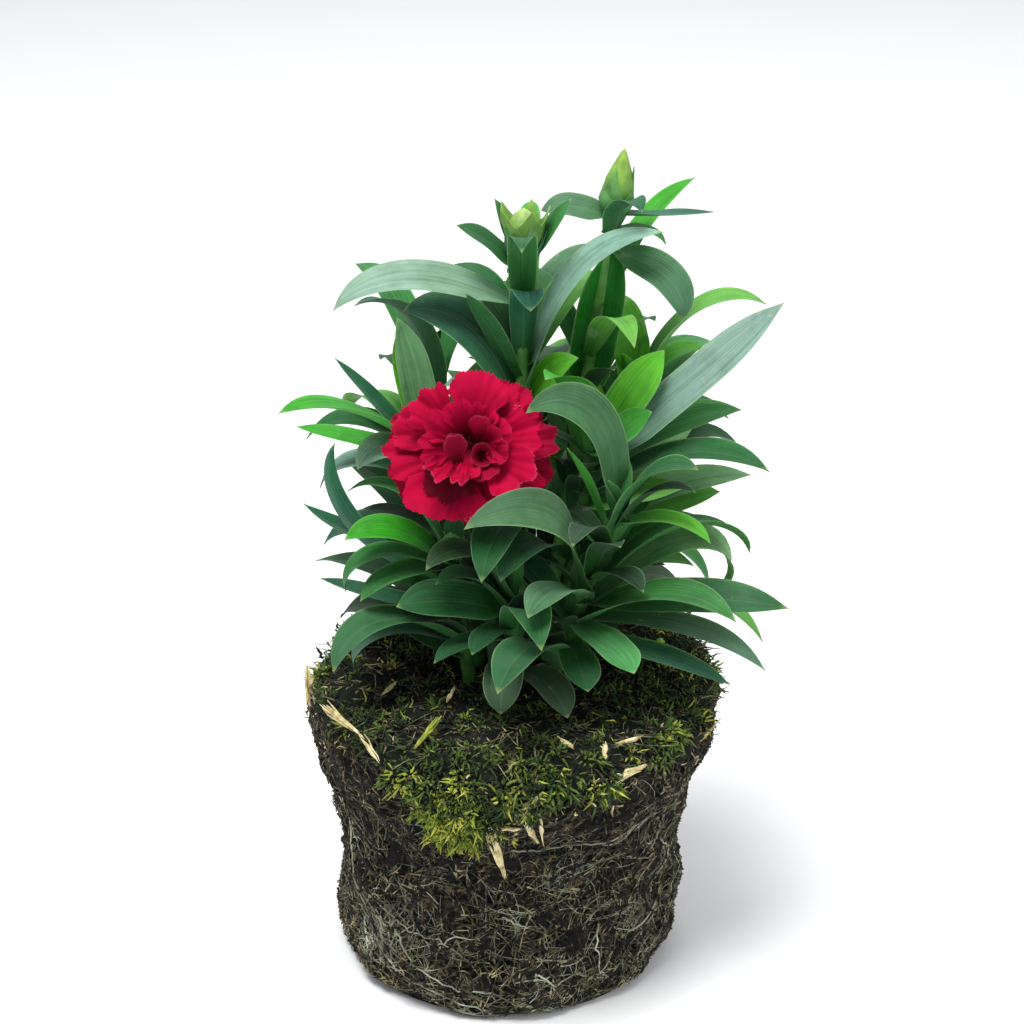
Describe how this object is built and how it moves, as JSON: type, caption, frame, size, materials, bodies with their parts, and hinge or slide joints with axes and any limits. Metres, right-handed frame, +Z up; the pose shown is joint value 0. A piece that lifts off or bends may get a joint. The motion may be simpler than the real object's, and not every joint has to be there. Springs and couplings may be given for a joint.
{
  "type": "dianthus plant with bare root ball",
  "caption": "Double-flowered dianthus lifted from its pot: upright leafy shoots, a fringed open bloom and buds on a round root ball that stands flat.",
  "frame": {"origin": "middle of the root ball's flat underside", "axes": "+Z up along the stems, -Y towards the side that the open bloom faces, +X to the right seen from that side"},
  "size_m": [0.1247, 0.1279, 0.2158],
  "materials": {
    "root_ball": "damp dark peat bound with fibres and pale roots",
    "flower_stem": "matt waxy green stem and calyx",
    "petals": "velvety crimson petal",
    "foliage": "waxy blue-green leaf"
  },
  "bodies": {
    "root": {"root_ball": "root_ball", "flower_stem": "flower_stem", "bloom": "petals", "shoot_fan": "foliage", "shoot_front": "foliage", "shoot_left": "foliage", "shoot_left_upper": "foliage", "bud_stem_left": "foliage", "bud_stem_right": "foliage", "shoot_right": "foliage", "shoot_back_right": "foliage", "shoot_back_left": "foliage", "shoot_back_mid": "foliage", "shoot_back_side": "foliage"}
  },
  "joints": []
}
